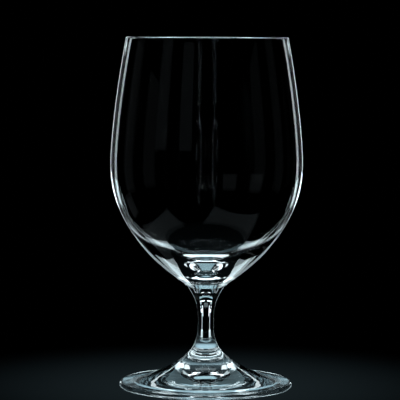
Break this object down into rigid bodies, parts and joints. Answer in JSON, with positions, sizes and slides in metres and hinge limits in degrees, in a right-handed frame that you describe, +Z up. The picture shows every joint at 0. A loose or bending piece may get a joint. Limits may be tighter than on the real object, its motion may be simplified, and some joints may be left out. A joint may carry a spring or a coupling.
{
  "type": "stemmed water glass",
  "caption": "Clear stemmed water glass: tall tulip bowl with a solid base and fire-polished lip, short waisted stem and round trumpet foot, for holding a cold drink.",
  "frame": {"origin": "on the axis, level with the flat ring of the foot that the glass stands on", "axes": "+Z up along the axis of the glass; the glass is round, so X and Y are free"},
  "size_m": [0.0824, 0.0824, 0.15],
  "materials": {
    "clear_glass": "clear, fire-polished"
  },
  "bodies": {
    "root": {"bowl": "clear_glass", "stem": "clear_glass", "foot": "clear_glass"}
  },
  "joints": []
}
